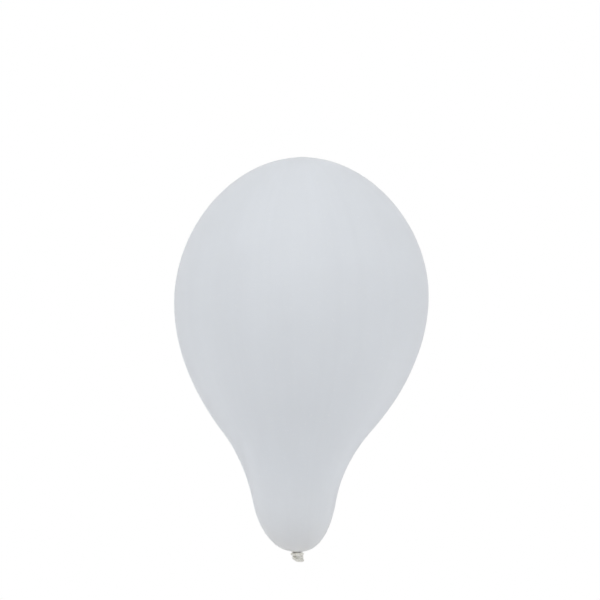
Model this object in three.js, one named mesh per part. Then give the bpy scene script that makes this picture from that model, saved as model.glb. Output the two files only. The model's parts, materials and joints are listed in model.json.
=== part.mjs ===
// A tied party balloon of thin latex, blown up until its neck has swollen too, which gives it
// the outline of a pear. It is held by its knot, with the crown up.
//
// Millimetres, +Z up. The origin is the tie point: the middle of the throat, where the swollen
// film ends and the gathered film goes down into the knot.

import * as THREE from "three";

// ---- Driving dimensions ------------------------------------------------------------------

// The swollen film's outline runs through rings, from the hole at the throat up to the crown. A
// slope is millimetres of radius for each millimetre of height. A reach is how long the outline
// keeps near a ring's slope, below it and above it, as a share of the way to the next ring.
const HOLE = { above: 0.23 }; // at the tie point
const NECK = { radius: 46.3, height: 57.5, slope: 0.19, below: 0.6, above: 0.31 }; // straightest
const SHOULDER = { radius: 82, height: 132.5, slope: 0.83, below: 0.34, above: 0.29 }; // steepest
const BELLY = { radius: 140, height: 278, below: 0.38 }; // the widest ring
const CROWN_RISE = 156.5; // from the widest ring to the top
const CROWN_FULLNESS = 1.92; // exponent of the crown's superellipse, where 2 is an ellipse
const FILM = 0.15; // wall of the swollen film
const WAIST_SHARE = 0.5; // how far from the neck's ring to the shoulder's the envelope begins

// The neck sways one way and the belly the other, as a soft mould lets them.
const NECK_SWAY = -3.2; // sideways, at most
const SWAY_LENGTH = 190; // height over which the neck sways out and back
const CROWN_LEAN = 5.5; // sideways, at the crown
const LEAN_FROM = 70; // height where the belly starts to lean
const LEAN_TO = 355; // height where it has leant all the way

// The gathered film
const CLEARANCE = 0.3; // between pieces that meet
const THROAT_RADIUS = 2.6; // of the gathered neck, to the middle of its pleats
const PLEAT_DEPTH = 0.3; // of each pleat, either side of that radius
const PLEATS = 9;
const KNOT_RADIUS = 7.2; // of the turn that the neck makes round itself
const KNOT_HEIGHT = 3.4; // of that turn's section
const KNOT_SLANT = 0.08; // drop of the turn for each millimetre towards +X

// The free end of the neck, past the knot
const ROOT_RADIUS = 1.3; // of the rounded root that the tail bends about
const TAIL_LENGTH = 2.2; // from the middle of that root to the middle of the rolled lip
const TAIL_FILM = 0.35; // wall of the slack film at the mouth
const MOUTH_WIDTH = 11.6; // of the flattened mouth, to the middle of its lip
const MOUTH_DEPTH = 3.8; // of the flattened mouth, front to back
const MOUTH_HOLLOW = 0.4; // how far the slack film is sucked in at the middle of the mouth
const LIP_DIAMETER = 2.3; // of the rolled lip's bead
const TAIL_SLANT = 16; // degrees that the tail's +X side hangs down
const TAIL_FACING = 20; // degrees that the mouth is turned to the front, -Y

// ---- Places worked out from them ---------------------------------------------------------

const THROAT_OUTSIDE = THROAT_RADIUS + PLEAT_DEPTH;
const FILM_HOLE = THROAT_OUTSIDE + CLEARANCE; // radius of the hole that the film gathers at
const KNOT_BORE = THROAT_OUTSIDE + CLEARANCE; // radius inside the turn
const KNOT_MIDDLE = (KNOT_BORE + KNOT_RADIUS) / 2; // radius to the middle of the turn's section
const KNOT_DROP = CLEARANCE + KNOT_HEIGHT / 2 + KNOT_SLANT * KNOT_RADIUS;
const THROAT_BOTTOM = -(KNOT_DROP + KNOT_HEIGHT / 2);
const HINGE_HEIGHT = THROAT_BOTTOM - CLEARANCE - ROOT_RADIUS;

const SWAY_PEAK = 27 / 4; // makes the sway's greatest value 1

// ---- How finely curves are cut -----------------------------------------------------------

const FILM_SEGMENTS = 48; // round the film
const DOME_STEPS = 9; // along the outline, from the hole to the neck
const WAIST_STEPS = 3; // from the neck to the waist, and from there to the shoulder
const SHOULDER_STEPS = 7; // from the shoulder to the widest ring
const CROWN_STEPS = 12; // from the widest ring to the top
const KNOT_SEGMENTS = 40; // round the knot, the tail and the lip
const SECTION_POINTS = 14; // round the turn's section
const BEAD_POINTS = 12; // round the lip's bead
const ROOT_STEPS = 5; // from the tail's root to its top
const PLEAT_POINTS = 8; // for each pleat

// ---- Finishes ----------------------------------------------------------------------------

const tautLatex = new THREE.MeshStandardMaterial({
  name: "taut_latex",
  color: 0xd3d7de,
  roughness: 0.42,
  metalness: 0,
});
const slackLatex = new THREE.MeshStandardMaterial({
  name: "slack_latex",
  color: 0xd6d5cb,
  roughness: 0.55,
  metalness: 0,
});

// ---- Shapes ------------------------------------------------------------------------------

// The outline between two rings, as a cubic curve that keeps to both rings' slopes.
function stretch(from, to) {
  const start = new THREE.Vector2(from.radius, from.height);
  const end = new THREE.Vector2(to.radius, to.height);
  const straight = start.distanceTo(end);
  const leave = new THREE.Vector2(...from.direction).setLength(from.above * straight);
  const arrive = new THREE.Vector2(...to.direction).setLength(to.below * straight);
  return new THREE.CubicBezierCurve(start, start.clone().add(leave), end.clone().sub(arrive), end);
}

// The film's rings, each with the direction that the outline has there.
const hole = { ...HOLE, radius: FILM_HOLE, height: 0, direction: [1, 0] };
const neck = { ...NECK, direction: [NECK.slope, 1] };
const shoulder = { ...SHOULDER, direction: [SHOULDER.slope, 1] };
const belly = { ...BELLY, direction: [0, 1] };

// Points along a share of a curve, evenly spaced, with both ends.
function pointsAlong(curve, from, to, steps) {
  const points = [];
  for (let i = 0; i <= steps; i++) {
    points.push(curve.getPointAt(THREE.MathUtils.lerp(from, to, i / steps)));
  }
  return points;
}

// The waist between the neck and the shoulder, and the shares of it where the neck's film ends and
// the envelope's begins.
function waistCurve() {
  const curve = stretch(neck, shoulder);
  const halfGap = CLEARANCE / 2 / curve.getLength();
  return { curve, neckEnd: WAIST_SHARE - halfGap, envelopeStart: WAIST_SHARE + halfGap };
}

// The neck's outer outline from the hole at the throat up to the waist, as Vector2s of radius and
// height.
function neckOutline() {
  const { curve, neckEnd } = waistCurve();
  return [
    ...pointsAlong(stretch(hole, neck), 0, 1, DOME_STEPS),
    ...pointsAlong(curve, 0, neckEnd, WAIST_STEPS).slice(1),
  ];
}

// The envelope's outer outline from the waist up to the top of the crown.
function envelopeOutline() {
  const { curve, envelopeStart } = waistCurve();
  const points = [
    ...pointsAlong(curve, envelopeStart, 1, WAIST_STEPS),
    ...pointsAlong(stretch(shoulder, belly), 0, 1, SHOULDER_STEPS).slice(1),
  ];
  for (let i = 1; i < CROWN_STEPS; i++) {
    const angle = (i / CROWN_STEPS) * (Math.PI / 2);
    const across = Math.cos(angle) ** (2 / CROWN_FULLNESS);
    const up = Math.sin(angle) ** (2 / CROWN_FULLNESS);
    points.push(new THREE.Vector2(BELLY.radius * across, BELLY.height + CROWN_RISE * up));
  }
  points.push(new THREE.Vector2(0, BELLY.height + CROWN_RISE));
  return points;
}

// A skin's whole profile: its outer outline, then the same outline moved inwards by the wall and
// followed back to the start.
function skinProfile(outline) {
  const last = outline.length - 1;
  const inside = outline.map((point, i) => {
    const before = outline[Math.max(i - 1, 0)];
    const after = outline[Math.min(i + 1, last)];
    const along = after.clone().sub(before).normalize();
    const moved = new THREE.Vector2(point.x - FILM * along.y, point.y + FILM * along.x);
    return point.x === 0 ? new THREE.Vector2(0, point.y - FILM) : moved;
  });
  return [...outline, ...inside.reverse(), outline[0].clone()];
}

// How far the film's axis stands to the side at a height. The sway goes out quickly from the
// throat, is greatest a third of the way up its length, and comes back slowly.
function leanAt(height) {
  const swayed = THREE.MathUtils.clamp(height / SWAY_LENGTH, 0, 1);
  const sway = NECK_SWAY * SWAY_PEAK * swayed * (1 - swayed) ** 2;
  return sway + CROWN_LEAN * THREE.MathUtils.smoothstep(height, LEAN_FROM, LEAN_TO);
}

// A profile of radius and height spun round +Z.
function spun(profile, segments) {
  return new THREE.LatheGeometry(profile, segments).rotateX(Math.PI / 2);
}

// Moves every vertex of a geometry by a function that changes the vector it is given.
function reshape(geometry, change) {
  const position = geometry.getAttribute("position");
  const vertex = new THREE.Vector3();
  for (let i = 0; i < position.count; i++) {
    vertex.fromBufferAttribute(position, i);
    change(vertex);
    position.setXYZ(i, vertex.x, vertex.y, vertex.z);
  }
  position.needsUpdate = true;
  geometry.computeVertexNormals();
  return geometry;
}

// ---- Pieces ------------------------------------------------------------------------------

// A length of the swollen film, from its outer outline.
function makeFilm(outline) {
  const geometry = reshape(spun(skinProfile(outline), FILM_SEGMENTS), (v) => {
    v.x += leanAt(v.z);
  });
  return new THREE.Mesh(geometry, tautLatex);
}

// The neck gathered into pleats, which goes from the film's hole down through the knot.
function makeThroat() {
  const count = PLEATS * PLEAT_POINTS;
  const edge = [];
  for (let i = 0; i < count; i++) {
    const angle = (i / count) * 2 * Math.PI;
    const radius = THROAT_RADIUS + PLEAT_DEPTH * Math.cos(PLEATS * angle);
    edge.push(new THREE.Vector2(radius * Math.cos(angle), radius * Math.sin(angle)));
  }
  const geometry = new THREE.ExtrudeGeometry(new THREE.Shape(edge), {
    depth: FILM - THROAT_BOTTOM,
    bevelEnabled: false,
  }).translate(0, 0, THROAT_BOTTOM);
  return new THREE.Mesh(geometry, slackLatex);
}

// The turn that the neck makes round itself: a thick ring, lower on its +X side.
function makeKnotTurn() {
  const section = [];
  for (let i = 0; i < SECTION_POINTS; i++) {
    const angle = (-i / SECTION_POINTS) * 2 * Math.PI;
    section.push(
      new THREE.Vector2(
        KNOT_MIDDLE + (KNOT_MIDDLE - KNOT_BORE) * Math.cos(angle),
        -KNOT_DROP + (KNOT_HEIGHT / 2) * Math.sin(angle),
      ),
    );
  }
  section.push(section[0].clone());
  section.reverse();
  const geometry = reshape(spun(section, KNOT_SEGMENTS), (v) => {
    v.z -= KNOT_SLANT * v.x;
  });
  return new THREE.Mesh(geometry, slackLatex);
}

// The free end of the neck: a rounded root that flares to a flattened mouth with a shallow
// opening. Its own frame has the root's middle at the origin and the mouth towards -Z.
function makeTail() {
  const mouthHeight = -(TAIL_LENGTH - LIP_DIAMETER / 2 - CLEARANCE);
  const mouthRadius = MOUTH_WIDTH / 2;
  const profile = [
    new THREE.Vector2(0, mouthHeight + MOUTH_HOLLOW),
    new THREE.Vector2(mouthRadius - TAIL_FILM, mouthHeight),
    new THREE.Vector2(mouthRadius, mouthHeight),
  ];
  for (let i = 0; i < ROOT_STEPS; i++) {
    const angle = (i / ROOT_STEPS) * (Math.PI / 2);
    profile.push(new THREE.Vector2(ROOT_RADIUS * Math.cos(angle), ROOT_RADIUS * Math.sin(angle)));
  }
  profile.push(new THREE.Vector2(0, ROOT_RADIUS));
  const flat = MOUTH_DEPTH / MOUTH_WIDTH;
  const geometry = reshape(spun(profile, KNOT_SEGMENTS), (v) => {
    // Round at the root, and flattened front to back by the mouth.
    const share = THREE.MathUtils.clamp(v.z / mouthHeight, 0, 1);
    v.y *= THREE.MathUtils.lerp(1, flat, share);
  });
  return new THREE.Mesh(geometry, slackLatex);
}

// The rolled lip: a round bead on an oval path, in the same frame as the tail.
function makeRolledLip() {
  const pathRadius = MOUTH_WIDTH / 2;
  const beadRadius = LIP_DIAMETER / 2;
  const geometry = new THREE.TorusGeometry(pathRadius, beadRadius, BEAD_POINTS, KNOT_SEGMENTS);
  const flat = MOUTH_DEPTH / MOUTH_WIDTH;
  reshape(geometry, (v) => {
    const angle = Math.atan2(v.y, v.x);
    const pathY = pathRadius * Math.sin(angle);
    v.y += pathY * (flat - 1);
    v.z -= TAIL_LENGTH;
  });
  return new THREE.Mesh(geometry, slackLatex);
}

// ---- Assembly ----------------------------------------------------------------------------

function named(name, mesh) {
  mesh.name = name;
  return mesh;
}

const balloon = new THREE.Group();
balloon.add(named("envelope", makeFilm(envelopeOutline())));
balloon.add(named("swollen_neck", makeFilm(neckOutline())));
balloon.add(named("throat", makeThroat()));
balloon.add(named("knot_turn", makeKnotTurn()));

const freeEnd = new THREE.Group();
freeEnd.position.z = HINGE_HEIGHT;
freeEnd.rotation.order = "YXZ";
freeEnd.rotation.y = THREE.MathUtils.degToRad(TAIL_SLANT);
freeEnd.rotation.x = -THREE.MathUtils.degToRad(TAIL_FACING);
freeEnd.add(named("tail", makeTail()));
freeEnd.add(named("rolled_lip", makeRolledLip()));
balloon.add(freeEnd);

export default balloon;
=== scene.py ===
"""A tied party balloon of thin latex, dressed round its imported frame.

A balloon is one dipped skin. Here it is made in the lengths that look and move differently: the
swollen film, the gathered throat, the knot that the neck makes round itself, the short tail and
the rolled lip. Everything is in metres, +Z up, with the origin at the tie point under the film.
"""

import json
import logging
import math
from dataclasses import dataclass
from enum import Enum
from typing import Any, Callable

import bmesh
import bpy
from mathutils import Matrix, Vector
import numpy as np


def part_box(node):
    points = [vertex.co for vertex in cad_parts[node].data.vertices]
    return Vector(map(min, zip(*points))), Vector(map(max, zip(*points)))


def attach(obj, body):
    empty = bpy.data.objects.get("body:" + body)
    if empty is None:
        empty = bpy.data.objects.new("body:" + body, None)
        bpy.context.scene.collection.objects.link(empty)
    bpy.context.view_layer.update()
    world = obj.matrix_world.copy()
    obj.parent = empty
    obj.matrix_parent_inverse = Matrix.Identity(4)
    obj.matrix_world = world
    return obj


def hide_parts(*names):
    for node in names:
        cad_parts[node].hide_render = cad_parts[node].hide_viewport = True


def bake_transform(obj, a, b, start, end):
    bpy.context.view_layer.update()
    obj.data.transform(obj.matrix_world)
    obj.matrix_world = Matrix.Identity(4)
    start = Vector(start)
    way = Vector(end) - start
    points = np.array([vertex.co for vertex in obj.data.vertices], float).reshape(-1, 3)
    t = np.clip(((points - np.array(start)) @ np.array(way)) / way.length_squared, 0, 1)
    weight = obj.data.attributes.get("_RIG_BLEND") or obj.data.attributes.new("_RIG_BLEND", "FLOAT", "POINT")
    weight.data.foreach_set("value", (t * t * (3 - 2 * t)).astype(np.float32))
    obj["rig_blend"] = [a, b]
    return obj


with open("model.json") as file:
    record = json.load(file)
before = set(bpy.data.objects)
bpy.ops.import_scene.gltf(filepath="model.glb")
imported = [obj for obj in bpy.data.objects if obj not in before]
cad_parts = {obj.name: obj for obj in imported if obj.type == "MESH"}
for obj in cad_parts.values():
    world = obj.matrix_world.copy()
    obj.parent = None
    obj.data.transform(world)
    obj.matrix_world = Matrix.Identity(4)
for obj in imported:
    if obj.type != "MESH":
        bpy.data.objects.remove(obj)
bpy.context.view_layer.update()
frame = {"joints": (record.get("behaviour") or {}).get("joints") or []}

LOG = logging.getLogger("balloon")
MM = 0.001
Socket = bpy.types.NodeSocket
Value = Any  # a socket to link from, or a constant

FULL_TURN = 2 * math.pi
JOIN = 1e-7  # points closer than this are one
SWAY_PEAK = 27 / 4  # makes the sway's greatest value 1
LAYER_EDGE = 0.05  # share of a turn over which a roll's outer layer ends
FAR_END = (0.5, 0.9)  # shares of an outline between which its far end begins
OUTLINE_FINENESS = 256  # steps between two points of an outline
LASTING = ("sharp_face", "material_index")  # attributes that every mesh keeps


# ---- Node trees --------------------------------------------------------------------------


class Graph:
    """A node tree, with short calls that add a node and join what goes into it."""

    def __init__(self, tree: bpy.types.NodeTree) -> None:
        """Starts from a tree.

        Args:
            tree: the tree that nodes are added to.
        """
        self.tree = tree

    def node(self, kind: str, inputs: dict[Any, Value] | None = None, **settings: Any) -> bpy.types.Node:
        """Adds a node.

        Args:
            kind: the node's type name.
            inputs: values or sockets for its inputs, by name or place.
            settings: the node's own properties.

        Returns:
            The node.
        """
        made = self.tree.nodes.new(kind)
        for name, value in settings.items():
            setattr(made, name, value)
        for key, value in (inputs or {}).items():
            self.feed(made.inputs[key], value)
        return made

    def feed(self, socket: Socket, value: Value) -> None:
        """Links a socket into another, or sets its value."""
        if isinstance(value, bpy.types.NodeSocket):
            self.tree.links.new(value, socket)
        else:
            socket.default_value = value

    def math(self, operation: str, *values: Value) -> Socket:
        """Adds a Math node and returns its result."""
        return self.node("ShaderNodeMath", dict(enumerate(values)), operation=operation).outputs[0]

    def multiply(self, *values: Value) -> Socket:
        """Returns the product of several values."""
        product = values[0]
        for value in values[1:]:
            product = self.math("MULTIPLY", product, value)
        return product

    def vector_math(self, operation: str, *values: Value) -> Socket:
        """Adds a Vector Math node and returns its vector."""
        node = self.node("ShaderNodeVectorMath", dict(enumerate(values)), operation=operation)
        return node.outputs["Vector"]

    def combine(self, x: Value = 0.0, y: Value = 0.0, z: Value = 0.0) -> Socket:
        """Returns a vector of three values."""
        return self.node("ShaderNodeCombineXYZ", {0: x, 1: y, 2: z}).outputs[0]

    def separate(self, vector: Value) -> tuple[Socket, Socket, Socket]:
        """Returns a vector's three values."""
        outputs = self.node("ShaderNodeSeparateXYZ", {0: vector}).outputs
        return outputs[0], outputs[1], outputs[2]

    def ramp(
        self, value: Value, low: Value, high: Value, start: Value = 0.0, end: Value = 1.0
    ) -> Socket:
        """Maps a value smoothly from one range to another.

        Args:
            value: what is mapped.
            low: the value that gives start.
            high: the value that gives end.
            start: the result at low and below.
            end: the result at high and above.

        Returns:
            The mapped value.
        """
        inputs = {"Value": value, "From Min": low, "From Max": high, "To Min": start, "To Max": end}
        return self.node("ShaderNodeMapRange", inputs, interpolation_type="SMOOTHSTEP").outputs[0]

    def noise(self, vector: Value, scale: Value, seed: Value, detail: float = 2.0) -> Socket:
        """Returns smooth noise about 0.5.

        Args:
            vector: where the noise is read.
            scale: how many features there are to one unit.
            seed: the place along its fourth axis, so that two noises differ.
            detail: how many finer layers it has.

        Returns:
            The noise.
        """
        inputs = {"Vector": vector, "W": seed, "Detail": detail, "Scale": scale}
        return self.node("ShaderNodeTexNoise", inputs, noise_dimensions="4D").outputs[0]

    def swing(self, noise: Value, *amounts: Value) -> Socket:
        """Returns noise about 0 instead of 0.5, times the amounts."""
        return self.multiply(self.math("SUBTRACT", noise, 0.5), *amounts)

    def clamp(self, value: Value) -> Socket:
        """Returns a value kept between 0 and 1."""
        return self.node("ShaderNodeClamp", {0: value}).outputs[0]


class ShapeGraph(Graph):
    """A Geometry Nodes tree with named inputs, which shapes the object that it is put on."""

    def __init__(self, name: str) -> None:
        """Starts a tree with a geometry that goes in and one that comes out.

        Args:
            name: the tree's name.
        """
        super().__init__(bpy.data.node_groups.new(name, "GeometryNodeTree"))
        face = self.tree.interface
        face.new_socket(name="Geometry", in_out="INPUT", socket_type="NodeSocketGeometry")
        face.new_socket(name="Geometry", in_out="OUTPUT", socket_type="NodeSocketGeometry")
        self.given = self.tree.nodes.new("NodeGroupInput")

    def ask(self, name: str, kind: str = "Float") -> Socket:
        """Adds a named input to the tree.

        Args:
            name: the input's name.
            kind: Float, Int or Material.

        Returns:
            The socket that holds what is given.
        """
        self.tree.interface.new_socket(name=name, in_out="INPUT", socket_type=f"NodeSocket{kind}")
        return self.given.outputs[name]

    def store(self, geometry: Value, name: str, value: Value, kind: str = "FLOAT") -> Socket:
        """Stores a value on every point as a named attribute.

        Args:
            geometry: what the attribute goes on.
            name: the attribute's name.
            value: its value.
            kind: its data type.

        Returns:
            The geometry with the attribute.
        """
        inputs = {"Geometry": geometry, "Name": name, "Value": value}
        return self.node("GeometryNodeStoreNamedAttribute", inputs, data_type=kind).outputs[0]

    def read(self, name: str, kind: str = "FLOAT") -> Socket:
        """Returns a named attribute of the points."""
        reading = self.node("GeometryNodeInputNamedAttribute", {"Name": name}, data_type=kind)
        return reading.outputs["Attribute"]

    def between(self, first: Value, second: Value, share: Value) -> Socket:
        """Returns what is a share of the way from one value to another."""
        return self.math("ADD", first, self.multiply(self.math("SUBTRACT", second, first), share))

    def end(self, geometry: Value, material: Value) -> None:
        """Ends the tree: real geometry, smooth, with its finish."""
        smooth = self.node("GeometryNodeSetShadeSmooth", {"Geometry": geometry, "Shade Smooth": True})
        real = self.node("GeometryNodeRealizeInstances", {0: smooth.outputs[0]})
        dressed = self.node("GeometryNodeSetMaterial", {0: real.outputs[0], "Material": material})
        self.node("NodeGroupOutput", {0: dressed.outputs[0]})


def shaped(curve: bpy.types.Object, tree: bpy.types.NodeTree, given: dict[str, Any]) -> bpy.types.Object:
    """Runs a curve through a shape tree and keeps the result as a plain mesh.

    Args:
        curve: the curve that the tree starts from. It is removed.
        tree: the Geometry Nodes tree.
        given: a value for each of the tree's named inputs.

    Returns:
        A mesh object at the origin, with the curve's name.
    """
    modifier = curve.modifiers.new(tree.name, "NODES")
    modifier.node_group = tree
    for item in tree.interface.items_tree:
        if item.in_out == "INPUT" and item.name in given:
            modifier[item.identifier] = given[item.name]
    name = curve.name
    depsgraph = bpy.context.evaluated_depsgraph_get()
    mesh = bpy.data.meshes.new_from_object(curve.evaluated_get(depsgraph))
    bpy.data.objects.remove(curve)
    mesh.name = name
    return linked(name, mesh)


# ---- Curves that the trees start from ----------------------------------------------------


@dataclass(frozen=True)
class OutlinePoint:
    """A point of an outline that is spun round +Z, with its direction and handles.

    Attributes:
        radius: metres from the axis.
        height: metres above the origin.
        direction: which way the outline goes there, as radius and height.
        before: length of the handle towards the point before.
        after: length of the handle towards the point after.
    """

    radius: float
    height: float
    direction: tuple[float, float]
    before: float = 0.0
    after: float = 0.0

    def place(self, along: float = 0.0) -> Vector:
        """The point, or the end of a handle that is so long."""
        heading = Vector((self.direction[0], 0, self.direction[1])).normalized()
        return Vector((self.radius, 0, self.height)) + heading * along


def new_curve(name: str, kind: str) -> tuple[bpy.types.Curve, bpy.types.Spline]:
    """Makes curve data with one spline of a kind, and returns both."""
    curve = bpy.data.curves.new(name, "CURVE")
    curve.dimensions = "3D"
    return curve, curve.splines.new(kind)


def outline_curve(name: str, points: list[OutlinePoint]) -> bpy.types.Object:
    """Makes a curve object of an outline.

    Args:
        name: the object's name.
        points: the outline's points, in order.

    Returns:
        The curve object, in the XZ plane.
    """
    curve, spline = new_curve(name, "BEZIER")
    spline.resolution_u = OUTLINE_FINENESS
    spline.bezier_points.add(len(points) - 1)
    for made, point in zip(spline.bezier_points, points):
        made.handle_left_type = made.handle_right_type = "FREE"
        made.co = point.place()
        made.handle_left = point.place(-point.before)
        made.handle_right = point.place(point.after)
    return linked(name, curve)


def path_curve(name: str, place: Callable[[float], Vector], steps: int, closed: bool) -> bpy.types.Object:
    """Makes a curve object that follows a formula.

    Args:
        name: the object's name.
        place: gives the path's point for a share of the way along it.
        steps: how many points it gets.
        closed: whether the path runs back into its start.

    Returns:
        The curve object.
    """
    curve, spline = new_curve(name, "POLY")
    spline.use_cyclic_u = closed
    spline.points.add(steps - 1)
    last = steps if closed else steps - 1
    for i, made in enumerate(spline.points):
        made.co = (*place(i / last), 1.0)
    return linked(name, curve)


def linked(name: str, data: bpy.types.ID) -> bpy.types.Object:
    """Puts data in the scene as an object."""
    made = bpy.data.objects.new(name, data)
    bpy.context.scene.collection.objects.link(made)
    return made


def smooth(share: float) -> float:
    """Eases a share in and out."""
    clipped = min(max(share, 0.0), 1.0)
    return clipped * clipped * (3 - 2 * clipped)


# ---- Shape trees -------------------------------------------------------------------------


@dataclass(frozen=True)
class Spread:
    """How smooth noise makes the pleats or creases of a piece unlike each other.

    Attributes:
        scale: of the noise, which is read round the skin or the roll.
        factor: what the noise is multiplied by.
        least: what is added to that.
        seed_step: what is added to the tree's seed, so that each noise is its own.
    """

    scale: float
    factor: float
    least: float = 0.0
    seed_step: float = 0.0

    def build(self, g: Graph, ring: Value, seed: Value) -> Socket:
        """Returns the spread noise, read at a place on a ring."""
        noise = g.noise(ring, self.scale, g.math("ADD", seed, self.seed_step))
        return g.math("MULTIPLY_ADD", noise, self.factor, self.least)

    def swing(self, g: Graph, ring: Value, seed: Value) -> Socket:
        """Returns the noise about 0 instead, times the factor."""
        return g.swing(g.noise(ring, self.scale, seed), self.factor)


PLEAT_SHIFT = Spread(1.3, 5.0)
PLEAT_STRENGTH = Spread(2.6, 2.0, -0.1, 3.0)
PLEAT_LENGTH = Spread(2.2, 1.8, 0.1, 6.0)
SKIN_LUMPS_SEED_STEP = 9.0
CREASE_SHIFT = Spread(0.9, 6.0)
CREASE_STRENGTH = Spread(1.6, 2.4, -0.3, 3.0)


def gathered_skin_tree() -> bpy.types.NodeTree:
    """Makes the tree that spins an outline round +Z into a skin and gathers it into pleats.

    The pleats are grooves that run along the outline, deep where the skin is narrow and gone
    where it is wide. Each has its own depth, width and length, and two skins with one seed have
    the same pleats. The point attribute crease says how deep in a groove a point is, and the
    attribute slack how close it is to where the film is hardly stretched.

    Returns:
        The tree. Its Geometry is the outline's curve.
    """
    g = ShapeGraph("gathered_skin")
    around = g.ask("Around", "Int")
    along = g.ask("Along", "Int")
    crowding = g.ask("Crowding")
    seed = g.ask("Seed")

    columns = g.math("ADD", around, 1.0)
    sheet = {"Size X": 1.0, "Size Y": 1.0, "Vertices X": columns, "Vertices Y": along}
    grid = g.node("GeometryNodeMeshGrid", sheet)
    flat_x, flat_y, _ = g.separate(g.node("GeometryNodeInputPosition").outputs[0])
    turn = g.multiply(g.math("ADD", flat_x, 0.5), FULL_TURN)
    even = g.math("ADD", flat_y, 0.5)
    share = g.between(even, g.ramp(even, 0.0, 1.0), crowding)
    asked = {"Curves": g.given.outputs["Geometry"], "Factor": share}
    sample = g.node("GeometryNodeSampleCurve", asked, mode="FACTOR")
    radius, _, height = g.separate(sample.outputs["Position"])
    run_out, _, run_up = g.separate(g.vector_math("NORMALIZE", sample.outputs["Tangent"]))
    cosine = g.math("COSINE", turn)
    sine = g.math("SINE", turn)

    # Noise read on a circle joins up after a whole turn.
    circle = g.combine(cosine, sine)
    shift = PLEAT_SHIFT.swing(g, circle, seed)
    wave = g.math("COSINE", g.math("ADD", g.multiply(g.ask("Pleats"), turn), shift))
    groove = g.math("POWER", g.math("MULTIPLY_ADD", wave, 0.5, 0.5), g.ask("Pleat Sharpness"))
    strength = PLEAT_STRENGTH.build(g, circle, seed)
    length = PLEAT_LENGTH.build(g, circle, seed)
    far = g.ramp(share, *FAR_END)
    close = g.math("SUBTRACT", 1.0, far)
    full_depth = g.ask("Full Depth Radius")
    fade = g.ramp(radius, full_depth, g.multiply(g.ask("No Depth Radius"), length), 1.0, 0.0)
    crease = g.multiply(groove, g.multiply(fade, close), strength)

    round_place = g.combine(g.multiply(radius, cosine), g.multiply(radius, sine), height)
    lumps_seed = g.math("ADD", seed, SKIN_LUMPS_SEED_STEP)
    lumps = g.noise(round_place, g.ask("Unevenness Scale"), lumps_seed, 1.0)
    held = g.ramp(radius, 0.0, g.ask("Even Radius"))
    swell = g.swing(lumps, g.ask("Unevenness"), held)
    out = g.math("SUBTRACT", swell, g.multiply(crease, g.ask("Pleat Depth")))

    # The thick spot that the film keeps at the far end of its outline.
    spot = g.multiply(g.ramp(radius, 0.0, g.ask("Tip Radius"), 1.0, 0.0), far)
    near = g.multiply(g.ramp(radius, 0.0, g.ask("Slack Radius"), 1.0, 0.0), close)

    drop = g.multiply(g.ramp(radius, full_depth, g.ask("Pull Radius"), g.ask("Pull Down"), 0.0), close)
    spun_radius = g.math("ADD", radius, g.multiply(out, run_up))
    spun_height = g.math("SUBTRACT", height, g.math("ADD", g.multiply(out, run_out), drop))
    spun_height = g.math("ADD", spun_height, g.multiply(spot, g.ask("Tip Rise")))
    flattened = g.ramp(height, g.ask("Flat Height"), g.ask("Round Height"), g.ask("Flatness"), 1.0)
    swayed = g.clamp(g.math("DIVIDE", height, g.ask("Sway Length")))
    back = g.math("SUBTRACT", 1.0, swayed)
    bow = g.multiply(g.ask("Sway"), SWAY_PEAK, swayed, back, back)
    leant = g.ramp(height, g.ask("Lean From"), g.ask("Lean To"), 0.0, g.ask("Lean"))
    across = g.math("ADD", g.multiply(spun_radius, cosine), g.math("ADD", bow, leant))
    place = g.combine(across, g.multiply(spun_radius, sine, flattened), spun_height)

    stored = g.store(grid.outputs["Mesh"], "crease", crease)
    stored = g.store(stored, "slack", g.math("MAXIMUM", near, spot))
    placed = g.node("GeometryNodeSetPosition", {"Geometry": stored, "Position": place})
    merged = g.node("GeometryNodeMergeByDistance", {0: placed.outputs[0], "Distance": JOIN})
    g.end(merged.outputs[0], g.ask("Material", "Material"))
    return g.tree


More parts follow.
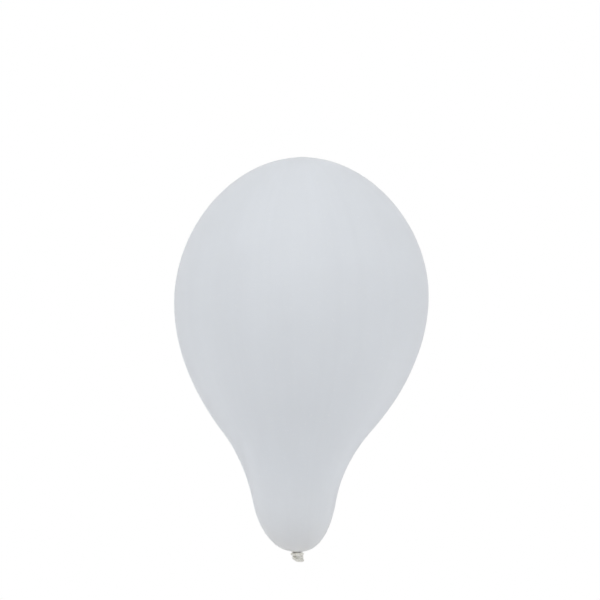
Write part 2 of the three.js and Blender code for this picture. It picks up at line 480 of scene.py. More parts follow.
def swept_roll_tree() -> bpy.types.NodeTree:
    """Makes the tree that sweeps a roll of slack film along a path.

    The roll has an oval section, with creases that run along it and wind slowly round it. A
    rolled lip has a step as well, where the outermost layer of the roll ends. The point
    attribute crease says how deep in a crease a point is.

    Returns:
        The tree. Its Geometry is the path's curve.
    """
    g = ShapeGraph("swept_roll")
    seed = g.ask("Seed")
    asked = {"Curve": g.given.outputs["Geometry"], "Count": g.ask("Path Points", "Int")}
    resampled = g.node("GeometryNodeResampleCurve", asked, mode="COUNT")
    upright = g.node("GeometryNodeSetCurveNormal", {"Curve": resampled.outputs[0]}, mode="Z_UP")
    share = g.node("GeometryNodeSplineParameter").outputs["Factor"]
    from_end = g.math("ADD", g.math("MINIMUM", share, g.math("SUBTRACT", 1.0, share)), g.ask("Closed"))
    thin = g.ramp(from_end, 0.0, g.ask("Taper Share"), g.ask("Taper"), 1.0)
    nose = g.clamp(g.math("DIVIDE", from_end, g.ask("Nose Share")))
    path = g.store(upright.outputs[0], "path_share", share)
    path = g.store(path, "path_size", g.multiply(thin, g.math("SQRT", nose)))
    middle = g.node("GeometryNodeInputPosition").outputs[0]
    path = g.store(path, "path_middle", middle, "FLOAT_VECTOR")
    round_asked = {"Resolution": g.ask("Section Points", "Int"), "Radius": 1.0}
    circle = g.node("GeometryNodeCurvePrimitiveCircle", round_asked)
    section = g.store(circle.outputs[0], "section_share", share)
    oval = g.combine(g.ask("Half Width"), g.ask("Half Height"), 1.0)
    stretched = g.vector_math("MULTIPLY", middle, oval)
    section = g.node("GeometryNodeSetPosition", {"Geometry": section, "Position": stretched}).outputs[0]
    sweep = {"Curve": path, "Profile Curve": section, "Scale": g.read("path_size"), "Fill Caps": True}
    swept = g.node("GeometryNodeCurveToMesh", sweep).outputs[0]

    along = g.read("path_share")
    angle = g.multiply(g.read("section_share"), FULL_TURN)
    trip = g.multiply(along, FULL_TURN)
    ring = g.combine(g.math("COSINE", angle), g.math("SINE", angle), g.math("COSINE", trip))
    shift = CREASE_SHIFT.swing(g, ring, seed)
    wound = g.math("ADD", g.multiply(g.ask("Winding"), trip), shift)
    wave = g.math("COSINE", g.math("ADD", g.multiply(g.ask("Creases"), angle), wound))
    groove = g.math("POWER", g.math("MULTIPLY_ADD", wave, 0.5, 0.5), g.ask("Crease Sharpness"))
    crease = g.multiply(groove, g.math("MAXIMUM", CREASE_STRENGTH.build(g, ring, seed), 0.0))

    turned = g.math("FRACT", g.math("ADD", g.read("section_share"), g.ask("Layer End")))
    layer = g.multiply(g.math("SUBTRACT", 1.0, turned), g.ramp(turned, 0.0, LAYER_EDGE), g.ask("Layer Step"))
    lumps = g.noise(g.read("path_middle", "FLOAT_VECTOR"), g.ask("Unevenness Scale"), seed, 1.0)
    swell = g.swing(lumps, g.ask("Unevenness"))
    rise = g.math("SUBTRACT", g.math("ADD", swell, layer), g.multiply(crease, g.ask("Crease Depth")))

    outward = g.vector_math("SUBTRACT", middle, g.read("path_middle", "FLOAT_VECTOR"))
    heading = g.vector_math("NORMALIZE", outward)
    grown = g.multiply(rise, g.read("path_size"))
    offset = g.vector_math("MULTIPLY", heading, g.combine(grown, grown, grown))
    stored = g.store(swept, "crease", crease)
    placed = g.node("GeometryNodeSetPosition", {"Geometry": stored, "Offset": offset})
    g.end(placed.outputs[0], g.ask("Material", "Material"))
    return g.tree


def cleaned(
    piece: bpy.types.Object, keep: tuple[str, ...], place: Callable[[Vector], Vector] | None = None
) -> bpy.types.Object:
    """Joins a mesh's doubles, turns its faces outwards and puts it in its place.

    Args:
        piece: the piece, whose mesh is changed.
        keep: the point attributes that its finish reads. The others go.
        place: gives the place of a point, if the mesh isn't in its place yet.

    Returns:
        The piece.
    """
    mesh = piece.data
    spare = [a.name for a in mesh.attributes if not a.is_required and not a.is_internal]
    for name in spare:
        if name not in keep and name not in LASTING:
            mesh.attributes.remove(mesh.attributes[name])
    if place is not None:
        for vertex in mesh.vertices:
            vertex.co = place(vertex.co)
    loose = bmesh.new()
    loose.from_mesh(mesh)
    bmesh.ops.remove_doubles(loose, verts=loose.verts, dist=JOIN)
    bmesh.ops.recalc_face_normals(loose, faces=loose.faces)
    loose.to_mesh(mesh)
    loose.free()
    return piece


def walled(piece: bpy.types.Object, thickness: float) -> None:
    """Gives a skin its thickness, all of it on the inner side."""
    walls = piece.modifiers.new("wall", "SOLIDIFY")
    walls.thickness = thickness
    walls.offset = -1


# ---- Finishes ----------------------------------------------------------------------------


class Slot(Enum):
    """The record's material slots."""

    TAUT = "taut_latex"
    SLACK = "slack_latex"


class Body(Enum):
    """The record's bodies."""

    FILM = "film"
    KNOT = "knot"
    FREE_END = "free_end"


Colour = tuple[float, float, float]


def dimmed(colour: Colour, share: float) -> Colour:
    """A colour that is only a share as bright."""
    return tuple(value * share for value in colour)


@dataclass(frozen=True)
class Mottle:
    """A smooth noise on a finish, which shades it, roughens it or stands out from it.

    Attributes:
        scale: how many features there are to a metre.
        seed: what makes it unlike the finish's other noises.
        detail: how many finer layers it has.
        band: between which of its values it comes to show.
        depth: how many metres high it stands.
        strength: how much of that shows.
    """

    scale: float
    seed: float
    detail: float = 2.0
    band: tuple[float, float] = (0.3, 0.7)
    depth: float = 0.0
    strength: float = 0.0

    def build(self, g: Graph, place: Value) -> Socket:
        """Returns the noise at a place."""
        return g.noise(place, self.scale, self.seed, self.detail)


class SurfaceGraph(Graph):
    """A material's node tree round one Principled shader."""

    def __init__(self, name: str, constants: dict[str, Value]) -> None:
        """Starts a material.

        Args:
            name: the material's name.
            constants: what is the same all over the surface, by the shader's socket names.
        """
        self.material = bpy.data.materials.new(name)
        self.material.use_nodes = True
        super().__init__(self.material.node_tree)
        self.tree.nodes.clear()
        self.shader = self.node("ShaderNodeBsdfPrincipled", constants, subsurface_method="BURLEY")
        self.node("ShaderNodeOutputMaterial", {"Surface": self.shader.outputs[0]})
        self.place = self.node("ShaderNodeTexCoord").outputs["Object"]

    def attribute(self, name: str) -> Socket:
        """Returns a point attribute of the mesh."""
        return self.node("ShaderNodeAttribute", attribute_name=name).outputs["Fac"]

    def mix(self, share: Value, first: Value, second: Value, blend: str = "MIX") -> Socket:
        """Mixes two colours.

        Args:
            share: how much of the second colour there is.
            first: the first colour.
            second: the second colour.
            blend: how they are mixed.

        Returns:
            The mixed colour.
        """
        settings = {"data_type": "RGBA", "blend_type": blend}
        mixer = self.node("ShaderNodeMix", {0: share}, **settings)
        for socket, colour in ((mixer.inputs[6], first), (mixer.inputs[7], second)):
            self.feed(socket, (*colour, 1.0) if isinstance(colour, tuple) else colour)
        return mixer.outputs[2]

    def bump(self, height: Value, mottle: Mottle, before: Value | None = None) -> Socket:
        """Adds a bump.

        Args:
            height: the height, from 0 to 1.
            mottle: says how far it stands out.
            before: a bump's normal that this one comes on top of.

        Returns:
            The bump's normal.
        """
        inputs = {"Height": height, "Distance": mottle.depth, "Strength": mottle.strength}
        if before is not None:
            inputs["Normal"] = before
        return self.node("ShaderNodeBump", inputs).outputs[0]


@dataclass(frozen=True)
class TautLatex:
    """The stretched film: a cool milky white with a satin surface, thinner where it is wider.

    Attributes:
        colour: where it is stretched most.
        thick_colour: where it is hardly stretched, near the knot and at the crown's spot.
        thick_share: how much of that colour shows where it is least stretched.
        dimmest: how bright the dimmest streaks and patches are, as a share.
        pucker_shade_colour: painted shade: what the colour is multiplied by at a pucker's bottom.
        shade: how much of that painted shade shows at a pucker's bottom.
        patches: of thicker and thinner film.
        streaks: where the film drained as it was dipped. They are read on a compass, not in metres.
        streak_stretch: how fast a streak changes with height, to the metre.
        ripples: finer streaks, which stand out.
        specks: of thicker film.
        speck_colour: of those specks.
        speck_share: how much of their colour shows.
        grain: the surface's own texture.
        roughness: of the satin surface.
        streak_roughness: how much it differs from streak to streak.
        slack_roughness: how much rougher it is where the film is hardly stretched.
        grain_roughness: how much it differs from grain to grain.
    """

    colour: Colour = (0.775, 0.808, 0.852)
    thick_colour: Colour = (0.725, 0.72, 0.712)
    thick_share: float = 0.85
    dimmest: float = 0.975
    # Painted shade: darkens the colour at the bottom of the puckers.
    pucker_shade_colour: Colour = (0.52, 0.50, 0.46)
    shade: float = 0.25
    patches: Mottle = Mottle(14.0, seed=1.0, detail=3.0)
    streaks: Mottle = Mottle(9.0, seed=2.0, detail=3.0)
    streak_stretch: float = 0.25
    ripples: Mottle = Mottle(54.0, seed=4.0, depth=0.4 * MM, strength=0.10)
    specks: Mottle = Mottle(420.0, seed=5.0, detail=1.0, band=(0.66, 0.74))
    speck_colour: Colour = (0.83, 0.85, 0.88)
    speck_share: float = 0.5
    grain: Mottle = Mottle(2600.0, seed=3.0, detail=4.0, depth=0.05 * MM, strength=0.25)
    roughness: float = 0.44
    streak_roughness: float = 0.14
    slack_roughness: float = 0.12
    grain_roughness: float = 0.08

    def build(self) -> bpy.types.Material:
        """Makes the material."""
        constants = {
            "IOR": 1.5,
            "Specular IOR Level": 0.35,
            "Subsurface Weight": 0.35,
            "Subsurface Radius": (0.010, 0.010, 0.009),
            "Subsurface Scale": 0.6,
            "Coat Weight": 0.06,
            "Coat Roughness": 0.3,
        }
        g = SurfaceGraph(Slot.TAUT.value, constants)
        patches = self.patches.build(g, g.place)
        x, y, z = g.separate(g.place)
        compass = g.vector_math("NORMALIZE", g.combine(x, y))
        streaked = g.vector_math("ADD", compass, g.combine(z=g.multiply(z, self.streak_stretch)))
        streaks = self.streaks.build(g, streaked)
        uneven = g.math("ADD", g.multiply(patches, 0.5), g.multiply(streaks, 0.5))
        slack = g.attribute("slack")
        crease = g.attribute("crease")

        bright = g.ramp(uneven, *self.patches.band)
        colour = g.mix(bright, dimmed(self.colour, self.dimmest), self.colour)
        specks = g.ramp(self.specks.build(g, g.place), *self.specks.band, 0.0, self.speck_share)
        colour = g.mix(specks, colour, self.speck_colour)
        colour = g.mix(g.multiply(slack, self.thick_share), colour, self.thick_colour)
        # Painted shade: the colour is darkened towards the bottom of each pucker, where shade falls.
        colour = g.mix(g.multiply(crease, self.shade), colour, self.pucker_shade_colour, "MULTIPLY")
        g.feed(g.shader.inputs["Base Color"], colour)

        grain = self.grain.build(g, g.place)
        smoothest = self.roughness - self.streak_roughness / 2
        rough = g.math("MULTIPLY_ADD", streaks, self.streak_roughness, smoothest)
        rough = g.math("ADD", rough, g.multiply(slack, self.slack_roughness))
        rough = g.math("ADD", rough, g.swing(grain, self.grain_roughness))
        g.feed(g.shader.inputs["Roughness"], rough)

        rippled = g.bump(self.ripples.build(g, streaked), self.ripples)
        g.feed(g.shader.inputs["Normal"], g.bump(grain, self.grain, rippled))
        return g.material


@dataclass(frozen=True)
class SlackLatex:
    """The unstretched film of the neck: thick, warm and matt, with fine wrinkles.

    Attributes:
        colour: of the film's outside.
        dimmest: how bright its dimmest patches are, as a share.
        fold_shade_colour: painted shade: what the colour is multiplied by at the bottom of a fold or crease.
        shade: how much of that painted shade shows at a fold's bottom.
        clouds: brighter and dimmer patches.
        wrinkles: the fine ones.
        powder: what is left of it on the film.
        powder_colour: of that powder.
        powder_share: how much of its colour shows.
        roughness: of the powdered surface.
        powder_roughness: how much it differs with the powder.
        fold_roughness: how much rougher it is at the bottom of a fold.
    """

    colour: Colour = (0.88, 0.88, 0.84)
    dimmest: float = 0.92
    # Painted shade: darkens the colour at the bottom of the folds and creases.
    fold_shade_colour: Colour = (0.62, 0.60, 0.55)
    shade: float = 0.65
    clouds: Mottle = Mottle(270.0, seed=2.0, detail=3.0, band=(0.35, 0.65))
    wrinkles: Mottle = Mottle(900.0, seed=3.0, detail=3.0, depth=0.12 * MM, strength=0.35)
    powder: Mottle = Mottle(6000.0, 1.0, 3.0, band=(0.55, 0.75), depth=0.03 * MM, strength=0.3)
    powder_colour: Colour = (0.90, 0.90, 0.88)
    powder_share: float = 0.35
    roughness: float = 0.56
    powder_roughness: float = 0.2
    fold_roughness: float = 0.1

    def build(self) -> bpy.types.Material:
        """Makes the material."""
        constants = {
            "IOR": 1.5,
            "Specular IOR Level": 0.3,
            "Subsurface Weight": 0.6,
            "Subsurface Radius": (0.0028, 0.0025, 0.0021),
            "Subsurface Scale": 0.8,
            "Sheen Weight": 0.08,
            "Sheen Roughness": 0.4,
        }
        g = SurfaceGraph(Slot.SLACK.value, constants)
        crease = g.attribute("crease")
        powder = self.powder.build(g, g.place)
        wrinkles = self.wrinkles.build(g, g.place)
        ridges = g.math("ABSOLUTE", g.math("MULTIPLY_ADD", wrinkles, 2.0, -1.0))
        bright = g.ramp(self.clouds.build(g, g.place), *self.clouds.band)
        colour = g.mix(bright, dimmed(self.colour, self.dimmest), self.colour)
        powdered = g.ramp(powder, *self.powder.band, 0.0, self.powder_share)
        colour = g.mix(powdered, colour, self.powder_colour)
        # Painted shade: the colour is darkened towards the bottom of each fold and crease, where shade
        # falls.
        colour = g.mix(g.multiply(crease, self.shade), colour, self.fold_shade_colour, "MULTIPLY")
        g.feed(g.shader.inputs["Base Color"], colour)
        smoothest = self.roughness - self.powder_roughness / 2
        rough = g.math("MULTIPLY_ADD", powder, self.powder_roughness, smoothest)
        rough = g.math("ADD", rough, g.multiply(crease, self.fold_roughness))
        g.feed(g.shader.inputs["Roughness"], rough)
        wrinkled = g.bump(ridges, self.wrinkles)
        g.feed(g.shader.inputs["Normal"], g.bump(powder, self.powder, wrinkled))
        return g.material


# ---- The frame's sizes -------------------------------------------------------------------


def half(node: str, axis: int) -> float:
    """Half of a node's size along an axis."""
    low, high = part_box(node)
    return (high[axis] - low[axis]) / 2


def centre(node: str) -> Vector:
    """The middle of a node's box."""
    low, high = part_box(node)
    return (Vector(low) + Vector(high)) / 2


def hinge(name: str) -> Vector:
    """A joint's place at rest."""
    return Vector(next(joint["pos_m"] for joint in frame["joints"] if joint["name"] == name))


# ---- Pieces ------------------------------------------------------------------------------


# A skin that is neither crowded, pulled, flattened, swayed nor leant. Each piece of skin gives
# what is different about it. Heights far below the skin keep it round all the way up.
PLAIN_SKIN = {
    "Crowding": 0.0,
    "Pull Down": 0.0,
    "Pull Radius": 12 * MM,
    "Flatness": 1.0,
    "Flat Height": -2.0,
    "Round Height": -1.0,
    "Sway": 0.0,
    "Sway Length": 1.0,
    "Lean": 0.0,
    "Lean From": 0.5,
    "Lean To": 1.0,
    "Slack Radius": 34 * MM,
    "Tip Rise": 0.0,
}


@dataclass(frozen=True)
class Wave:
    """A gentle wave of a path that goes round.

    Attributes:
        amount: how far it moves the path to either side.
        count: how many waves there are to a turn.
        phase: where the first begins, in radians.
    """

    amount: float
    count: int
    phase: float = 0.0

    def at(self, turn: float) -> float:
        """How far the path is moved, for an angle round it in radians."""
        return self.amount * math.sin(self.count * turn + self.phase)


@dataclass
class Gathers:
    """The pleats that the film and the throat share, so that each runs on into the other.

    Attributes:
        pleats: how many there are round the neck.
        depth: how deep the deepest are.
        sharpness: how narrow a groove is for its pleat.
        seed: what makes each pleat different.
    """

    pleats: float = 11.0
    depth: float = 0.42 * MM
    sharpness: float = 2.4
    seed: float = 4.0

    def inputs(self) -> dict[str, Any]:
        """What the tree of a gathered skin is given for them."""
        return {
            "Pleats": self.pleats,
            "Pleat Depth": self.depth,
            "Pleat Sharpness": self.sharpness,
            "Seed": self.seed,
        }


@dataclass
class Film:
    """The swollen film: one skin from the gathers at the throat up to the crown.

    Attributes:
        tree: the tree of a gathered skin.
        gathers: the pleats at the throat.
        material: its finish.
        throat: radius of the gathered neck.
        belly: radius of the belly.
        top: height of the crown.
        belly_height: where the belly is widest.
        neck: radius and height of the swollen neck, and its radius per height there.
        shoulder: the same where the shoulder is steepest.
        crown_share: how long the crown's handles are, for a little less than an ellipse.
        wall: thickness of the film.
        around: how many columns of faces the skin has.
        along: how many rows of points it has.
    """

    tree: bpy.types.NodeTree
    gathers: Gathers
    material: bpy.types.Material
    throat: float = half("throat", 1)
    belly: float = half("envelope", 1)
    top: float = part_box("envelope")[1][2]
    belly_height: float = 278 * MM
    neck: tuple[float, float, float] = (46.3 * MM, 57.5 * MM, 0.19)
    shoulder: tuple[float, float, float] = (82 * MM, 132.5 * MM, 0.83)
    crown_share: float = 0.526
    wall: float = 0.15 * MM
    around: int = 224
    along: int = 186

    def outline(self) -> list[OutlinePoint]:
        """The outline's points, from the throat up to the crown."""
        neck_radius, neck_height, neck_slope = self.neck
        shoulder_radius, shoulder_height, shoulder_slope = self.shoulder
        dome = math.hypot(neck_radius - self.throat, neck_height)
        waist = math.hypot(shoulder_radius - neck_radius, shoulder_height - neck_height)
        side = math.hypot(self.belly - shoulder_radius, self.belly_height - shoulder_height)
        rise = self.top - self.belly_height
        return [
            OutlinePoint(self.throat - 0.2 * MM, -0.9 * MM, (0.2, 1), after=0.7 * MM),
            OutlinePoint(self.throat + 1.9 * MM, 0.1 * MM, (1, 0.04), before=1.1 * MM, after=0.22 * dome),
            OutlinePoint(neck_radius, neck_height, (neck_slope, 1), 0.6 * dome, 0.31 * waist),
            OutlinePoint(shoulder_radius, shoulder_height, (shoulder_slope, 1), 0.34 * waist, 0.29 * side),
            OutlinePoint(self.belly, self.belly_height, (0, 1), 0.38 * side, self.crown_share * rise),
            OutlinePoint(0, self.top, (-1, 0), self.crown_share * self.belly),
        ]

    def build(self) -> bpy.types.Object:
        """Makes the film, which stands for both of its lengths in the frame."""
        given = {
            **PLAIN_SKIN,
            **self.gathers.inputs(),
            "Around": self.around,
            "Along": self.along,
            "Crowding": 0.86,
            "Full Depth Radius": self.throat + 0.6 * MM,
            "No Depth Radius": 15 * MM,
            "Pull Down": 0.7 * MM,
            "Pull Radius": 7 * MM,
            "Sway": -3.2 * MM,
            "Sway Length": 190 * MM,
            "Lean": 5.5 * MM,
            "Lean From": 70 * MM,
            "Lean To": 355 * MM,
            "Unevenness": 0.9 * MM,
            "Unevenness Scale": 9.0,
            "Even Radius": 60 * MM,
            "Slack Radius": 60 * MM,
            "Tip Radius": 11 * MM,
            "Tip Rise": 0.35 * MM,
            "Material": self.material,
        }
        curve = outline_curve("swollen_film", self.outline())
        film = cleaned(shaped(curve, self.tree, given), ("crease", "slack"))
        walled(film, self.wall)
        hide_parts("envelope", "swollen_neck")
        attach(film, Body.FILM.value)
        return film


@dataclass
class Throat:
    """The gathered neck, which goes from the film's hole down through the knot.

    Attributes:
        tree: the tree of a gathered skin.
        gathers: the pleats.
        material: its finish.
        radius: where no pleat is.
        top: height of its upper end, inside the film's hole.
        bottom: height of its lower end, inside the knot.
    """

    tree: bpy.types.NodeTree
    gathers: Gathers
    material: bpy.types.Material
    radius: float = half("throat", 1) - 0.25 * MM
    top: float = 0.1 * MM
    bottom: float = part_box("throat")[0][2]

    def build(self) -> bpy.types.Object:
        """Makes the throat, which twists between the film and the knot."""
        rounded = self.radius * 0.6
        outline = [
            OutlinePoint(0, self.bottom, (1, 0), after=self.radius * 0.3),
            OutlinePoint(self.radius, self.bottom + rounded, (0, 1), before=rounded * 0.6),
            OutlinePoint(self.radius, self.top, (0, 1)),
            OutlinePoint(0, self.top, (-1, 0)),
        ]
        given = {
            **PLAIN_SKIN,
            **self.gathers.inputs(),
            "Around": 176,
            "Along": 40,
            "Full Depth Radius": self.radius,
            "No Depth Radius": 30 * MM,
            "Unevenness": 0.0,
            "Unevenness Scale": 100.0,
            "Even Radius": 1 * MM,
            "Tip Radius": 1 * MM,
            "Material": self.material,
        }
        curve = outline_curve("gathered_throat", outline)
        throat = cleaned(shaped(curve, self.tree, given), ("crease",))
        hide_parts("throat")
        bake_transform(throat, Body.FILM.value, Body.KNOT.value, start=(0, 0, 0), end=(0, 0, self.bottom))
        return throat


@dataclass
class KnotTurn:
    """The turn that the neck makes round itself, and the crossing where it goes under it.

    Attributes:
        tree: the tree of a swept roll.
        material: its finish.
        outside: radius of the frame's knot.
        turns: how far round the strand goes, in whole turns.
        begins: where its first end is tucked in, in degrees from +X.
        climb: how much higher its first end lies than its last.
        tuck: how far its ends are tucked in towards the axis.
        tuck_share: over what share of its length they are.
        outward_wave: how its distance from the axis wavers.
        upward_wave: how its height wavers.
        proud: how far its creased outside may stand past the frame's knot.
        half_width: of the strand, across the axis.
        half_height: of the strand, along the axis.
        slant: how far its +X side hangs down, to the metre.
        rise: how far it is moved up.
    """

    tree: bpy.types.NodeTree
    material: bpy.types.Material
    outside: float = half("knot_turn", 1)
    turns: float = 1.36
    begins: float = -158.0
    climb: float = 1.2 * MM
    tuck: float = 1.5 * MM
    tuck_share: float = 0.13
    outward_wave: Wave = Wave(0.2 * MM, 2, 0.4)
    upward_wave: Wave = Wave(0.2 * MM, 3, 1.0)
    proud: float = 0.25 * MM
    half_width: float = 2.1 * MM
    half_height: float = 1.65 * MM
    slant: float = 0.08
    rise: float = -0.1 * MM

    def place(self, share: float) -> Vector:
        """The middle of the strand, for a share of the way along it."""
        turn = math.radians(self.begins) + FULL_TURN * self.turns * share
        tucked = smooth(1 - min(share, 1 - share) / self.tuck_share)
        radius = self.outside + self.proud - self.half_width - self.tuck * tucked
        radius += self.outward_wave.at(turn)
        x = radius * math.cos(turn)
        z = centre("knot_turn").z + self.rise + self.climb * (0.5 - smooth(share)) - self.slant * x
        return Vector((x, radius * math.sin(turn), z + self.upward_wave.at(turn)))

    def build(self) -> bpy.types.Object:
        """Makes the knot's turn."""
        given = {
            "Seed": 11.0,
            "Path Points": 240,
            "Section Points": 72,
            "Half Width": self.half_width,
            "Half Height": self.half_height,
            "Closed": 0.0,
            "Taper": 0.34,
            "Taper Share": 0.2,
            "Nose Share": 0.02,
            "Creases": 7.0,
            "Crease Depth": 0.4 * MM,
            "Crease Sharpness": 2.6,
            "Winding": 1.6,
            "Unevenness": 0.9 * MM,
            "Unevenness Scale": 260.0,
            "Material": self.material,
        }
        curve = path_curve("knot_strand", self.place, 400, closed=False)
        strand = cleaned(shaped(curve, self.tree, given), ("crease",))
        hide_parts("knot_turn")
        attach(strand, Body.KNOT.value)
        return strand


@dataclass
class FreeEnd:
    """The free end past the knot: a short pleated tail that flares to a flattened, rolled lip.

    Attributes:
        skin: the tree of a gathered skin.
        roll: the tree of a swept roll.
        material: its finish.
        slant: degrees that its +X side hangs down.
        facing: degrees that the mouth is turned to the front.
        length: from the hinge to the middle of the lip.
        half_width: of the mouth, to the middle of the lip.
        half_depth: of the mouth, front to back.
        bead: radius of the lip's roll.
        squareness: how square the mouth's ends are, seen from below.
        across_wave: how the lip wavers from front to back.
        upward_waves: how it wavers up and down.
        root: radius of the tail where it comes out of the knot.
        upright: height over the hinge above which the tail is upright.
        sag: how far the middle of the mouth's edge hangs down.
        curl: how far its -X end curls up.
        aside: how far the mouth is pushed towards +X.
        flare_push: how far the top of the flare is pushed the same way, as a share of that.
        wall: thickness of the tail's film.
        bend_reach: how far from the hinge the tail bends, to either side.
    """

    skin: bpy.types.NodeTree
    roll: bpy.types.NodeTree
    material: bpy.types.Material
    slant: float = 16.0
    facing: float = 20.0
    length: float = 2.2 * MM
    half_width: float = 5.8 * MM
    half_depth: float = 1.6 * MM
    bead: float = 1.15 * MM
    squareness: float = 2.6
    across_wave: Wave = Wave(0.12 * MM, 3)
    upward_waves: tuple[Wave, ...] = (Wave(0.14 * MM, 2, 0.7), Wave(0.09 * MM, 5, 2.1))
    root: float = 2.4 * MM
    upright: float = 1.6 * MM
    sag: float = 1.5 * MM
    curl: float = 0.2 * MM
    aside: float = 1.4 * MM
    flare_push: float = 0.6
    wall: float = 0.3 * MM
    bend_reach: float = 1 * MM

    def frame(self) -> Matrix:
        """The free end's own frame: the hinge at the origin and the mouth towards -Z."""
        slant = Matrix.Rotation(math.radians(self.slant), 4, "Y")
        facing = Matrix.Rotation(math.radians(-self.facing), 4, "X")
        return Matrix.Translation(hinge("tail_bend")) @ slant @ facing

    def droop(self, x: float) -> Vector:
        """How far the mouth's edge is moved and hangs down, at a distance to the side."""
        across = x / self.half_width
        hang = self.curl * (1 - across) - self.sag * (1 - across * across)
        return Vector((self.aside, 0, hang))

    def settle(self, point: Vector) -> Vector:
        """Puts a point of the tail in its place: upright in the knot, and slanted at the mouth."""
        share = smooth((self.upright - point.z) / (self.upright + self.length))
        pushed = Vector((self.aside * self.flare_push * abs(point.x) / self.half_width, 0, 0))
        straight = hinge("tail_bend") + point + pushed
        return straight.lerp(self.frame() @ (point + self.droop(point.x)), share)

    def lip_place(self, share: float) -> Vector:
        """The middle of the lip's roll, for a share of the way round it."""
        turn = FULL_TURN * share
        straight = self.half_width - self.half_depth
        x = straight * math.tanh(self.squareness * math.cos(turn)) + self.half_depth * math.cos(turn)
        y = self.half_depth * math.sin(turn) + self.across_wave.at(turn)
        z = sum(wave.at(turn) for wave in self.upward_waves) - self.length
        return self.frame() @ (Vector((x, y, z)) + self.droop(x))

    def build_tail(self) -> bpy.types.Object:
        """Makes the tail, which bends between the knot and the lip."""
        outline = [
            OutlinePoint(self.root * 0.9, self.upright + 0.8 * MM, (0, -1), after=0.3 * MM),
            OutlinePoint(self.root, self.upright - 0.1 * MM, (0.2, -1), 0.3 * MM, 0.4 * MM),
            OutlinePoint(0.98 * self.half_width, 0.7 * MM, (0.8, -1), 1.5 * MM, 0.6 * MM),
            OutlinePoint(self.half_width, -self.length, (-0.1, -1), 1.2 * MM),
        ]
        given = {
            **PLAIN_SKIN,
            "Seed": 7.0,
            "Around": 192,
            "Along": 56,
            "Pleats": 10.0,
            "Pleat Depth": 0.26 * MM,
            "Pleat Sharpness": 1.5,
            "Full Depth Radius": 3.0 * MM,
            "No Depth Radius": 9 * MM,
            "Flatness": self.half_depth / self.half_width,
            "Flat Height": 0.6 * MM,
            "Round Height": self.upright + 0.4 * MM,
            "Unevenness": 0.3 * MM,
            "Unevenness Scale": 300.0,
            "Even Radius": 4 * MM,
            "Tip Radius": 0.1 * MM,
            "Material": self.material,
        }
        curve = outline_curve("tail_film", outline)
        tail = cleaned(shaped(curve, self.skin, given), ("crease",), self.settle)
        walled(tail, self.wall)
        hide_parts("tail")
        reach = self.frame().to_3x3() @ Vector((0, 0, -self.bend_reach))
        start = hinge("tail_bend") - reach
        end = hinge("tail_bend") + reach
        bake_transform(tail, Body.KNOT.value, Body.FREE_END.value, start=tuple(start), end=tuple(end))
        return tail

    def build_lip(self) -> bpy.types.Object:
        """Makes the rolled lip."""
        given = {
            "Seed": 23.0,
            "Path Points": 200,
            "Section Points": 48,
            "Half Width": self.bead,
            "Half Height": self.bead,
            "Closed": 1.0,
            "Taper": 1.0,
            "Taper Share": 0.1,
            "Nose Share": 0.1,
            "Creases": 3.0,
            "Crease Depth": 0.06 * MM,
            "Crease Sharpness": 3.0,
            "Winding": 1.0,
            "Layer Step": 0.16 * MM,
            "Layer End": 0.15,
            "Unevenness": 0.28 * MM,
            "Unevenness Scale": 420.0,
            "Material": self.material,
        }
        curve = path_curve("lip_roll", self.lip_place, 240, closed=True)
        lip = cleaned(shaped(curve, self.roll, given), ("crease",))
        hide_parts("rolled_lip")
        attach(lip, Body.FREE_END.value)
        return lip


# ---- Studio ------------------------------------------------------------------------------


WHITE = (1.0, 1.0, 1.0, 1.0)


@dataclass(frozen=True)
class Softbox:
    """A square of soft light.

    Attributes:
        name: its name.
        place: its middle.
        side: how wide it is.
        power: in watts.
    """

    name: str
    place: tuple[float, float, float]
    side: float
    power: float

    def build(self, target: Vector) -> None:
        """Makes the light, turned to a target."""
        light = bpy.data.lights.new(self.name, "AREA")
        light.shape = "SQUARE"
        light.size = self.side
        light.energy = self.power
        lamp = linked(self.name, light)
        lamp.location = self.place
        lamp.rotation_euler = (target - Vector(self.place)).to_track_quat("-Z", "Y").to_euler()


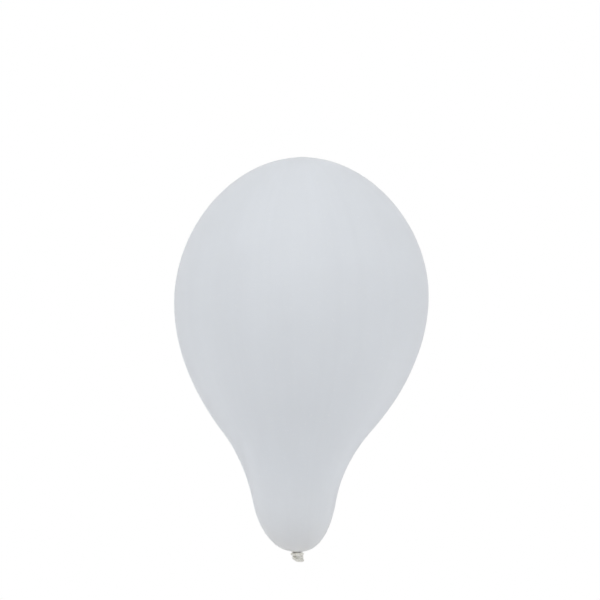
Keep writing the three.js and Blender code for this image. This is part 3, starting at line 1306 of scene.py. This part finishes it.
@dataclass
class Studio:
    """The camera, the light and the pale floor, all plain.

    Attributes:
        camera: where the camera stands. It looks level along +Y.
        lens: its focal length in millimetres.
        floor_height: how far down the floor is, out of the camera's view.
        floor_radius: how far it goes, short of where the camera would see it.
        floor_shades: its darkest and its brightest shade.
        floor_grain: how many clouds of shade there are to a metre of it.
        overhead: brightness of the surroundings above.
        level: brightness of the surroundings at eye level.
        below: brightness of the surroundings below.
        softboxes: the lights.
    """

    camera: tuple[float, float, float] = (2.98 * MM, -3.673, 277.2 * MM)
    lens: float = 200.0
    floor_height: float = -1.8
    floor_radius: float = 17.0
    floor_shades: tuple[Colour, Colour] = ((0.88, 0.88, 0.885), (0.92, 0.92, 0.922))
    floor_grain: float = 3.0
    overhead: float = 0.80
    level: float = 0.765
    below: float = 0.70
    softboxes: tuple[Softbox, ...] = (
        Softbox("key_softbox", (-0.12, -1.4, 1.4), 1.2, 4.2),
        Softbox("low_left_softbox", (-1.3, 0.5, -0.6), 1.0, 1.7),
        Softbox("low_right_softbox", (1.3, 0.5, -0.6), 1.0, 2.0),
    )

    def build(self) -> None:
        """Makes the studio."""
        eye = bpy.data.cameras.new("studio_camera")
        eye.lens = self.lens
        eye.clip_end = 100.0
        camera = linked("studio_camera", eye)
        camera.location = self.camera
        camera.rotation_euler = (math.pi / 2, 0, 0)
        bpy.context.scene.camera = camera
        bpy.context.scene.view_settings.view_transform = "Standard"
        for softbox in self.softboxes:
            softbox.build(centre("envelope"))
        self.build_floor()
        self.build_surroundings()

    def build_floor(self) -> None:
        """Makes the floor."""
        mesh = bpy.data.meshes.new("studio_floor")
        disc = bmesh.new()
        bmesh.ops.create_circle(disc, cap_ends=True, segments=96, radius=self.floor_radius)
        bmesh.ops.translate(disc, verts=disc.verts, vec=(0, 0, self.floor_height))
        disc.to_mesh(mesh)
        disc.free()
        paper = SurfaceGraph("pale_floor", {"Roughness": 0.9, "Specular IOR Level": 0.1})
        grain = paper.noise(paper.place, self.floor_grain, 0.0, 4.0)
        paper.feed(paper.shader.inputs["Base Color"], paper.mix(grain, *self.floor_shades))
        mesh.materials.append(paper.material)
        linked("studio_floor", mesh)

    def build_surroundings(self) -> None:
        """Makes the light from all around, and the white that the camera sees behind."""
        world = bpy.data.worlds.new("studio_surroundings")
        bpy.context.scene.world = world
        world.use_nodes = True
        world.node_tree.nodes.clear()
        g = Graph(world.node_tree)
        _, _, up = g.separate(g.node("ShaderNodeTexCoord").outputs["Generated"])
        above = g.ramp(up, 0.0, 1.0, self.level, self.overhead)
        light = g.math("SUBTRACT", above, g.ramp(up, 0.0, -1.0, 0.0, self.level - self.below))
        glow = g.node("ShaderNodeBackground", {"Color": WHITE, "Strength": light}).outputs[0]
        white = g.node("ShaderNodeBackground", {"Color": WHITE, "Strength": 1.0}).outputs[0]
        seen = g.node("ShaderNodeLightPath").outputs["Is Camera Ray"]
        mixed = g.node("ShaderNodeMixShader", {0: seen, 1: glow, 2: white}).outputs[0]
        g.node("ShaderNodeOutputWorld", {"Surface": mixed})


# ---- Assembly ----------------------------------------------------------------------------


def main() -> None:
    """Builds the studio and the balloon, piece by piece."""
    logging.basicConfig(level=logging.INFO, format="%(name)s: %(message)s")
    Studio().build()
    taut = TautLatex().build()
    slack = SlackLatex().build()
    skin = gathered_skin_tree()
    roll = swept_roll_tree()
    gathers = Gathers()
    free_end = FreeEnd(skin, roll, slack)
    pieces = [
        Film(skin, gathers, taut).build(),
        Throat(skin, gathers, slack).build(),
        KnotTurn(roll, slack).build(),
        free_end.build_tail(),
        free_end.build_lip(),
    ]
    for piece in pieces:
        LOG.info("%s has %d faces", piece.name, len(piece.data.polygons))


if __name__ == "__main__":
    main()
